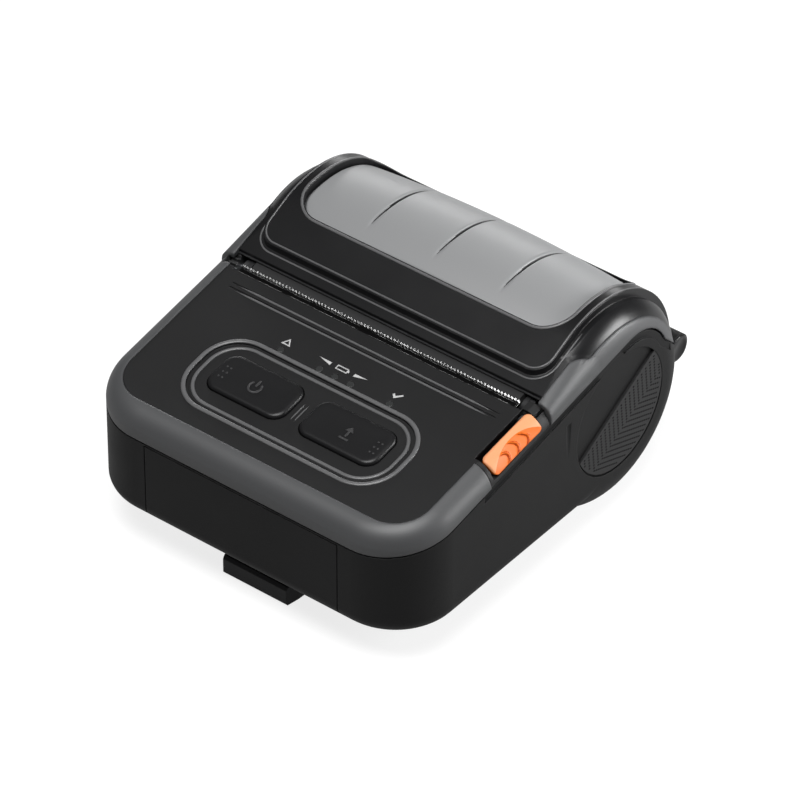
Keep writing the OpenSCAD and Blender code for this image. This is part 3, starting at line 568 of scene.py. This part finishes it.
def slab_face(row, step, count):
    """Number of a slab's upper face at a row and a step, with count points in a row."""
    return 2 * (row * (count - 1) + step)


def rolled(distance, radius):
    """How far a rim of this radius has dropped at a distance from its edge."""
    inside = max(0.0, min(radius, distance))
    return radius - math.sqrt(max(0.0, radius * radius - (radius - inside) ** 2))


def groove_sink(x, y):
    """Depth in mm of the nearest groove at a place of the pane."""
    fade = max(0.0, min(1.0, (y - GROOVE_START) / GROOVE_FADE))
    nearest = min(abs(x - groove) for groove in GROOVES)
    return GROOVE_DEPTH * fade ** 0.6 * math.exp(-(nearest / GROOVE_WIDTH) ** 2)


def in_groove_shade(x, y):
    """Whether a face at this place lies in the dark bottom of a groove, which narrows to the front."""
    aside = min((x - groove for groove in GROOVES), key=abs)
    half_width = SHADE_HALF[0] + SHADE_HALF[1] * min(1.0, (y - GROOVE_START) / SHADE_FADE)
    return y > GROOVE_START and abs(aside - SHADE_MIDDLE) < half_width


def add_pane():
    """The smoky window: a crowned pane with a soft rim and three grooves that fade to the front."""
    half, front, rear, corner = WINDOW
    x1, y0, y1, corner = half - PANE_INSET, front + PANE_INSET, rear - PANE_INSET, corner - PANE_INSET
    ends = [x1 - corner + corner * math.sin(math.radians(a)) for a in range(0, 90, 6)]
    columns = set(spread(-x1, x1, GROOVES, COLUMN_STEP))
    columns = sorted(columns | {round(side * end, 4) for side in (1, -1) for end in ends})
    top, low, dark = [], [], []
    for row, x in enumerate(columns):
        past = max(0.0, abs(x) - (x1 - corner))
        cut = corner - math.sqrt(max(0.0, corner * corner - past * past))
        start, stop = y0 + cut, y1 - cut
        length = stop - start - 2 * RIM_STEPS[-1]
        steps = [start + f for f in RIM_STEPS]
        steps += [start + RIM_STEPS[-1] + length * k / LENGTH_STEPS for k in range(1, LENGTH_STEPS)]
        steps += [stop - f for f in reversed(RIM_STEPS)]
        next_x = columns[min(row + 1, len(columns) - 1)]
        line_top, line_low = [], []
        for step, y in enumerate(steps):
            if step < len(steps) - 3 and in_groove_shade((next_x + x) / 2, y):
                dark.append(slab_face(row, step, len(steps)))
            to_end = min(y - start, stop - y)
            if past > 0.0:
                to_end = corner - math.hypot(past, max(0.0, corner - (y - y0), corner - (y1 - y)))
            roll = rolled(min(to_end, x1 - abs(x)), PANE_ROLL)
            line_top.append(at(x, y, pane_height(x, y, PANE_SINK + roll + groove_sink(x, y))))
            line_low.append(at(x, y, pane_height(x, y, PANE_SINK + PANE_THICK + 0.4 * roll)))
        top.append(line_top)
        low.append(line_low)
    points, faces = [], []
    add_slab(points, faces, top, low)
    pane = make_piece("window_pane", points, faces, MATERIALS["window_smoke"], "cover")
    paint_faces(pane, MATERIALS["groove_shade"], dark)
    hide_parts("window")


def surface_of(*names):
    """A search tree over the faces of some CAD nodes."""
    points, faces = [], []
    for name in names:
        mesh, first = nodes[name].data, len(points)
        points += [vertex.co.copy() for vertex in mesh.vertices]
        faces += [[first + corner for corner in face.vertices] for face in mesh.polygons]
    return BVHTree.FromPolygons(points, faces)


def dropped(tree, outline, lift=0.0):
    """Each place of an outline from above, dropped onto the surface: its point and normal."""
    found = []
    for x, y in outline:
        hit, normal, _, _ = tree.ray_cast(at(x, y, 90), Vector((0, 0, -1)))
        if hit is not None:
            found.append((hit + normal * lift * MM, normal))
    return found


def add_bead(points, faces, spots, width, height, closed, steps=6):
    """A half-round bead along points on a surface, given with their normals; sizes in mm."""
    total, rings = len(spots), []
    for k, (spot, normal) in enumerate(spots):
        before = spots[k - 1][0] if closed or k else spot
        after = spots[(k + 1) % total][0] if closed or k < total - 1 else spot
        side = (after - before).cross(normal).normalized()
        taper = 1.0 if closed else min(1.0, (0.2 + min(k, total - 1 - k)) / 3.0)
        ring = [spot + (side * math.cos(math.pi * turn / steps) * width / 2
                        + normal * math.sin(math.pi * turn / steps) * height) * MM * taper
                for turn in range(steps + 1)]
        rings.append(ring + [spot - normal * 0.1 * MM])
    add_rings(points, faces, rings, closed)


def dense(outline, step=1.2):
    """The outline with extra places on its long straight runs."""
    filled = []
    for k, (x, y) in enumerate(outline):
        u, v = outline[(k + 1) % len(outline)]
        parts = max(1, int(math.hypot(u - x, v - y) / step))
        filled += [(x + (u - x) * n / parts, y + (v - y) * n / parts) for n in range(parts)]
    return filled


def order_open(outline):
    """An outline cut open at its largest gap, so that it runs from one end to the other."""
    gaps = [math.dist(outline[k - 1], outline[k]) for k in range(len(outline))]
    cut = gaps.index(max(gaps))
    return outline[cut:] + outline[:cut]


def add_cover_lips():
    """The lip round the window and the beads at the ridge's front and sides, pale as a painted highlight on
    those edges.
    """
    tree = surface_of("cover_trim", "paper_cover")
    half, front, rear, corner = WINDOW
    outline = rounded_outline(-half - LIP_OUT, half + LIP_OUT, front - LIP_OUT, rear + LIP_OUT,
                              corner + LIP_OUT)
    points, faces = [], []
    add_bead(points, faces, dropped(tree, dense(outline)), *LIP_SIZE, True)
    make_piece("window_lip", points, faces, MATERIALS["lip_painted_highlight"], "cover")
    points, faces = [], []
    for sizes, rear_end in (RIDGE_UPPER, RIDGE_LOWER):
        edge = order_open([(x, y) for x, y in dense(rounded_outline(*sizes, 12)) if y < rear_end])
        add_bead(points, faces, dropped(tree, edge, RIDGE_SUNK), *RIDGE_SIZE, False)
    make_piece("ridge_highlight_beads", points, faces, MATERIALS["lip_painted_highlight"], "cover")


def add_hinge_caps():
    """The turned end caps of the hinge barrel, from rows of distance across and radius in mm."""
    points, faces = [], []
    for side in (-1, 1):
        add_loops(points, faces, [[at(side * x, HINGE[0] + y, HINGE[1] + z)
                                   for y, z in round_path(radius, range(0, 360, 10))]
                                  for x, radius in CAP_ROWS])
    make_piece("hinge_caps", points, faces, MATERIALS["trim_black"], "housing")


add_pane()
add_cover_lips()
add_hinge_caps()

# ---------------------------------------------------------------- release key

RELEASE = (45.5, -19.9, -2.1)           # inner side, front and rear of the key, mm
RELEASE_ROUND = (44.0, -6.0, 6.3)       # centre of the band's rounding: x, lift over the deck and radius, mm
RELEASE_FOOT = -3.62                    # lift of the key's lower edge over the deck, mm
RELEASE_CORNER, RELEASE_ROLL = 1.5, 0.5     # corner radius and rim radius, mm
RELEASE_REACH = 49.96                   # the key stays inside this distance across, mm
RIBS = (-4.2, -0.6, 3.0)                # places of the curved ribs along the key, mm
RIB_HEIGHT, RIB_WIDTH = 0.42, 0.3
BOW, BOW_BACK = 2.1, 0.6                # how far the ribs bow to the rear, and their set-back, mm
SHADE_ASIDE, SHADE_DOWN = (0.22, 0.52), (0.06, 0.92)    # the shaded strips beside the ribs, in mm and down
CAP_THICK, CAP_THINNER, THIN_START, THIN_RUN = 1.6, 0.75, -10.0, 3.0    # the cap thins over the latch, mm
CREST_ANGLE, CREST_RISE = 29, 32        # the lens begins here at the middle, and lower at the ends, degrees
END_STEPS = [0.0, 0.1, 0.25, 0.5, 0.8, 1.2]     # close steps at both ends of the key, mm
UPPER_STEPS, LOWER_STEPS, LONG_STEPS = 10, 22, 74


def on_round(angle):
    """A place on the band's rounding as x and lift over the deck, at an angle from upright."""
    cx, cz, radius = RELEASE_ROUND
    return Vector((cx + radius * math.sin(angle), cz + radius * math.cos(angle)))


def rib_lift(y, bow, down):
    """Height of the ribs at a station, bowed by bow, on the way down the lens from 0 to 1."""
    fade_in, fade_out = min(1.0, 6 * down + 0.2), min(1.0, 5 * (1 - down))
    return sum(RIB_HEIGHT * math.exp(-((y - bow - rib) / RIB_WIDTH) ** 2) * fade_in * fade_out
               for rib in RIBS)


def in_rib_shade(y, bow, down):
    """Whether a face at this station lies in a shaded strip beside a rib."""
    beside = any(SHADE_ASIDE[0] < abs(y + 0.13 - bow - rib) < SHADE_ASIDE[1] for rib in RIBS)
    return SHADE_DOWN[0] < down < SHADE_DOWN[1] and beside


def add_release():
    """The orange release key: a rounded cap whose outer side is a shallow lens with three curved ribs; its
    top facet is painted lighter as a highlight, and strips beside the ribs darker as painted shade.
    """
    inner, y0, y1 = RELEASE
    cx, cz, radius = RELEASE_ROUND
    centre = Vector((cx, cz))
    middle, half = (y0 + y1) / 2, (y1 - y0) / 2
    start = math.degrees(math.asin((inner - cx) / radius))
    stop = math.degrees(math.acos((RELEASE_FOOT - cz) / radius))
    length = y1 - y0 - 2 * END_STEPS[-1]
    stations = [y0 + f for f in END_STEPS]
    stations += [y0 + END_STEPS[-1] + length * k / LONG_STEPS for k in range(1, LONG_STEPS)]
    stations += [y1 - f for f in reversed(END_STEPS)]
    count = UPPER_STEPS + LOWER_STEPS + 1
    top, low, highlight_faces, shade = [], [], [], []
    for row, y in enumerate(stations):
        near_end = min(y - y0, y1 - y)
        cut = math.degrees(rolled(near_end, RELEASE_CORNER) / radius)
        share = abs(y - middle) / half
        thick = CAP_THICK - CAP_THINNER * max(0.0, min(1.0, (y - THIN_START) / THIN_RUN))
        ridge = math.radians(min(CREST_ANGLE + CREST_RISE * share ** 2.2, stop - cut - 3))
        first, last = math.radians(start + cut), math.radians(stop - cut)
        crest, foot = on_round(ridge), on_round(last)
        places = [(on_round(first + (ridge - first) * k / UPPER_STEPS), -1.0) for k in range(UPPER_STEPS)]
        places += [(crest.lerp(foot, k / LOWER_STEPS), k / LOWER_STEPS) for k in range(LOWER_STEPS + 1)]
        line_top, line_low = [], []
        for step, (spot, down) in enumerate(places):
            out = (spot - centre).normalized()
            edge = min(near_end, (step + 0.001) * 0.16, (count - 1 - step) * 0.2)
            lift = -0.8 * rolled(edge, RELEASE_ROLL)
            bow = middle + BOW * math.sin(math.pi * min(1.0, down * 0.95)) - BOW_BACK
            if down >= 0:
                lift += rib_lift(y, bow, down)
            # the top facet's faces take the painted highlight; faces beside the ribs take the painted shade
            if row < len(stations) - 1 and step < count - 1:
                if down < 0:
                    highlight_faces.append(slab_face(row, step, count))
                elif in_rib_shade(y, bow, down):
                    shade.append(slab_face(row, step, count))
            spot = spot + out * lift
            line_top.append(on_deck(min(spot.x, RELEASE_REACH), y, spot.y))
            deep = centre + out * (radius - thick)
            line_low.append(on_deck(max(deep.x, inner), y, deep.y))
        top.append(line_top)
        low.append(line_low)
    points, faces = [], []
    add_slab(points, faces, top, low)
    cap = make_piece("release_cap", points, faces, MATERIALS["release_orange"], "release")
    paint_faces(cap, MATERIALS["release_painted_highlight"], highlight_faces)
    paint_faces(cap, MATERIALS["release_shade"], shade)
    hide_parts("release_button")


add_release()

# ---------------------------------------------------------------- side grips

GRIP = (28.7, 31.5)             # centre of the fields behind the tear edge and up, mm
GRIP_RADIUS, PAD_RADIUS = 16.1, 16.85   # radii of the dotted field and of the pad under it, mm
GRIP_SLOPE = math.radians(29)   # slope of the field's upper edge
PAD_EDGE = (18.05, 0.555)       # the pad's upper edge: height at the tear edge in mm, and rise
KNEE_DEPTH, GRIP_TOP = 6.4, -1.2        # depth of the rows' knees and of the first dots below the centre line
ROW_PITCH, DOT_PITCH = 1.813, 0.94      # spacing of the rows and of the dots in a row, mm
PAD_SIDES, DOT_PLACE = (49.2, 49.9), 49.8       # the pad's two faces and the dots' centres across, mm
DOT_SIZES = {"Dot Length": 0.00086, "Dot Height": 0.00056, "Dot Thickness": 0.00039}   # in metres


def grip_points():
    """Dots in nested rows: upright before the middle line, and sloping away behind it."""
    along = Vector((math.cos(GRIP_SLOPE), math.sin(GRIP_SLOPE)))
    below = Vector((along.y, -along.x))
    up, away = Vector((-0.12, 1.0)).normalized(), Vector((0.94, -0.34)).normalized()
    spots = []
    for row in range(-14, 15):
        knee = along * (row * ROW_PITCH) + below * KNEE_DEPTH
        for spot in [knee + up * (k * DOT_PITCH) for k in range(26)] + [
                knee + away * (k * DOT_PITCH) for k in range(1, 26)]:
            if spot.dot(below) >= GRIP_TOP and spot.length <= GRIP_RADIUS:
                spots.append((GRIP[0] + spot.x, GRIP[1] + spot.y))
    return spots


def dot_tree():
    """Geometry nodes that put a small raised dot on every point of a mesh."""
    tree = bpy.data.node_groups.new("grip_dots", "GeometryNodeTree")
    interface = tree.interface
    interface.new_socket("Points", in_out="INPUT", socket_type="NodeSocketGeometry")
    sockets = {}
    for label, value in DOT_SIZES.items():
        socket = interface.new_socket(label, in_out="INPUT", socket_type="NodeSocketFloat")
        socket.default_value = value
        sockets[label] = socket.identifier
    socket = interface.new_socket("Material", in_out="INPUT", socket_type="NodeSocketMaterial")
    sockets["Material"] = socket.identifier
    interface.new_socket("Dots", in_out="OUTPUT", socket_type="NodeSocketGeometry")
    start, end = tree.nodes.new("NodeGroupInput"), tree.nodes.new("NodeGroupOutput")
    ball = tree.nodes.new("GeometryNodeMeshUVSphere")
    ball.inputs["Segments"].default_value = 8
    ball.inputs["Rings"].default_value = 5
    ball.inputs["Radius"].default_value = 0.5
    size = tree.nodes.new("ShaderNodeCombineXYZ")
    wire(tree, start, "Dot Thickness", size, "X")
    wire(tree, start, "Dot Length", size, "Y")
    wire(tree, start, "Dot Height", size, "Z")
    put = tree.nodes.new("GeometryNodeInstanceOnPoints")
    wire(tree, start, "Points", put, "Points")
    wire(tree, ball, "Mesh", put, "Instance")
    wire(tree, size, "Vector", put, "Scale")
    real = tree.nodes.new("GeometryNodeRealizeInstances")
    wire(tree, put, "Instances", real, "Geometry")
    paint = tree.nodes.new("GeometryNodeSetMaterial")
    wire(tree, real, "Geometry", paint, "Geometry")
    wire(tree, start, "Material", paint, "Material")
    wire(tree, paint, "Geometry", end, "Dots")
    return tree, sockets


def add_grip_pads():
    """The fields that carry the dots, let in nearly level with the housing's sides."""
    height, rise = PAD_EDGE
    ring = moved(round_path(PAD_RADIUS, range(0, 360, 3)), *GRIP)
    ring = order_open([(y, z) for y, z in ring if z < height + rise * y])
    points, faces = [], []
    for rows in ([-x for x in reversed(PAD_SIDES)], PAD_SIDES):
        add_loops(points, faces, [[at(x, y, z) for y, z in ring] for x in rows])
    pads = make_piece("side_grip_pads", points, faces, MATERIALS["grip_field"], "housing", smooth=False)
    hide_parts("side_grips")


def add_grips():
    """The dotted fields on both sides, made by geometry nodes and kept as one plain mesh."""
    tree, sockets = dot_tree()
    spots = [at(side * DOT_PLACE, y, z) for side in (-1, 1) for y, z in grip_points()]
    seed = bpy.data.meshes.new("grip_seed")
    seed.from_pydata([tuple(spot) for spot in spots], [], [])
    source = bpy.data.objects.new("grip_source", seed)
    bpy.context.scene.collection.objects.link(source)
    nodes_on = source.modifiers.new("dots", "NODES")
    nodes_on.node_group = tree
    for label, value in DOT_SIZES.items():
        nodes_on[sockets[label]] = value
    nodes_on[sockets["Material"]] = MATERIALS["grip_dot"]
    shape = bpy.data.meshes.new_from_object(source.evaluated_get(bpy.context.evaluated_depsgraph_get()))
    bpy.data.objects.remove(source)
    shape.name = "side_grip_dots"
    for face in shape.polygons:
        face.use_smooth = True
    piece = bpy.data.objects.new("side_grip_dots", shape)
    bpy.context.scene.collection.objects.link(piece)
    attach(piece, "housing")


add_grip_pads()
add_grips()

# ---------------------------------------------------------------- stage and light

FLOOR_SHADE = (0.22, 0.22, 0.22, 1)     # the floor's own colour, which carries the shadow
FLOOR_GLOW, GLOSSY_GLOW = 0.8, 0.35     # the floor's white for the camera, and reflections' share of it
WORLD_LIGHT = 0.15


def add_floor():
    """A plain white floor that keeps the shadow; it sits a hair below the feet."""
    bpy.ops.mesh.primitive_plane_add(size=8.0, location=(0, 0, -0.00005))
    floor = bpy.context.object
    floor.name = "floor"
    paint = bpy.data.materials.new("floor_white")
    paint.use_nodes = True
    tree = paint.node_tree
    shader = tree.nodes["Principled BSDF"]
    shader.inputs["Base Color"].default_value = FLOOR_SHADE
    shader.inputs["Roughness"].default_value = 0.9
    shader.inputs["Specular IOR Level"].default_value = 0.1
    path = tree.nodes.new("ShaderNodeLightPath")
    rays = tree.nodes.new("ShaderNodeMath")
    rays.operation = "MULTIPLY_ADD"
    rays.inputs[1].default_value = GLOSSY_GLOW
    wire(tree, path, "Is Glossy Ray", rays, 0)
    wire(tree, path, "Is Camera Ray", rays, 2)
    glow = tree.nodes.new("ShaderNodeEmission")
    glow.inputs["Color"].default_value = (1, 1, 1, 1)
    level = tree.nodes.new("ShaderNodeMath")
    level.operation = "MULTIPLY"
    level.inputs[1].default_value = FLOOR_GLOW
    wire(tree, rays, "Value", level, 0)
    wire(tree, level, "Value", glow, "Strength")
    both = tree.nodes.new("ShaderNodeAddShader")
    wire(tree, shader, "BSDF", both, 0)
    wire(tree, glow, "Emission", both, 1)
    wire(tree, both, "Shader", tree.nodes["Material Output"], "Surface")
    floor.data.materials.append(paint)


def add_lamp(name, place, aim, size, watts):
    """A rectangular lamp at a place, turned to its aim."""
    light = bpy.data.lights.new(name, "AREA")
    light.shape = "RECTANGLE"
    light.size, light.size_y = size
    light.energy = watts
    lamp = bpy.data.objects.new(name, light)
    lamp.location = place
    lamp.rotation_mode = "QUATERNION"
    lamp.rotation_quaternion = (Vector(aim) - Vector(place)).to_track_quat("-Z", "Y")
    bpy.context.scene.collection.objects.link(lamp)


def add_world():
    """Weak even light from all round."""
    world = bpy.data.worlds.new("studio")
    world.use_nodes = True
    backdrop = world.node_tree.nodes["Background"]
    backdrop.inputs["Color"].default_value = (1, 1, 1, 1)
    backdrop.inputs["Strength"].default_value = WORLD_LIGHT
    bpy.context.scene.world = world


add_floor()
add_world()
add_lamp("key_light", (0.1, -0.3, 1.15), (0, 0, 0.03), (0.8, 0.6), 19.0)
add_lamp("side_light", (0.27, 0.21, 0.14), (0.05, 0.03, 0.03), (0.16, 0.12), 1.25)
add_lamp("rim_light", (-0.75, 0.95, 0.3), (0, 0, 0.04), (0.7, 0.18), 3.0)
bpy.context.scene.view_settings.view_transform = "Standard"
